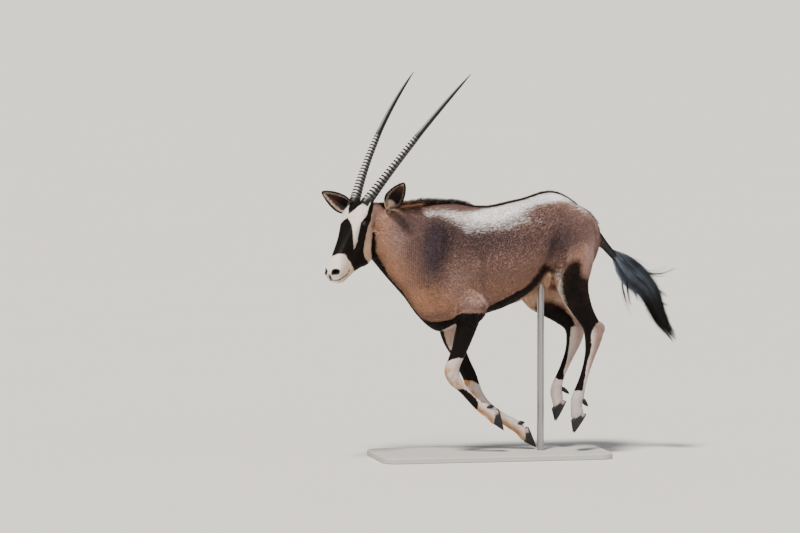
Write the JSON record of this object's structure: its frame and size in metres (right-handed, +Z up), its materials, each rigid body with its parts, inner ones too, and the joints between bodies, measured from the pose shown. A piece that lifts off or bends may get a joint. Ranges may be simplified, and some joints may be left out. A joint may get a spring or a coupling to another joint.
{
  "type": "gemsbok, still life-size animal model on a display stand",
  "caption": "Life-size gemsbok at a gallop with long ringed horns, dark tail tassel and masked face, held off the ground by a flat base with an upright rod.",
  "frame": {"origin": "centre of the underside of the stand's base, on the floor under the animal's middle", "axes": "+Z up, the animal heads along -X, its left side faces -Y"},
  "size_m": [1.7014, 0.6452, 1.7266],
  "materials": {
    "body_coat": "short flat fawn-grey coat",
    "face_coat": "short white and black face coat",
    "leg_coat": "short black and white leg coat",
    "dark_coat": "long glossy black hair",
    "horn": "dark ringed horn, smooth towards the tip",
    "hoof": "dark slate hoof horn",
    "eye": "dark wet eye",
    "stand_base": "matt pale grey paint",
    "stand_rod": "brushed steel"
  },
  "bodies": {
    "root": {"stand_base": "stand_base", "stand_rod": "stand_rod", "head": "face_coat", "neck": "body_coat", "torso": "body_coat", "hindquarters": "body_coat", "tail": "dark_coat", "tail_tassel": "dark_coat", "horn_left": "horn", "horn_right": "horn", "ear_left": "face_coat", "ear_right": "face_coat", "eye_left": "eye", "eye_right": "eye", "foreleg_left_forearm": "leg_coat", "foreleg_left_cannon": "leg_coat", "foreleg_left_pastern": "leg_coat", "foreleg_left_claw_inner": "hoof", "foreleg_left_claw_outer": "hoof", "foreleg_right_forearm": "leg_coat", "foreleg_right_cannon": "leg_coat", "foreleg_right_pastern": "leg_coat", "foreleg_right_claw_inner": "hoof", "foreleg_right_claw_outer": "hoof", "hindleg_left_gaskin": "leg_coat", "hindleg_left_cannon": "leg_coat", "hindleg_left_pastern": "leg_coat", "hindleg_left_claw_inner": "hoof", "hindleg_left_claw_outer": "hoof", "hindleg_right_gaskin": "leg_coat", "hindleg_right_cannon": "leg_coat", "hindleg_right_pastern": "leg_coat", "hindleg_right_claw_inner": "hoof", "hindleg_right_claw_outer": "hoof"}
  },
  "joints": []
}
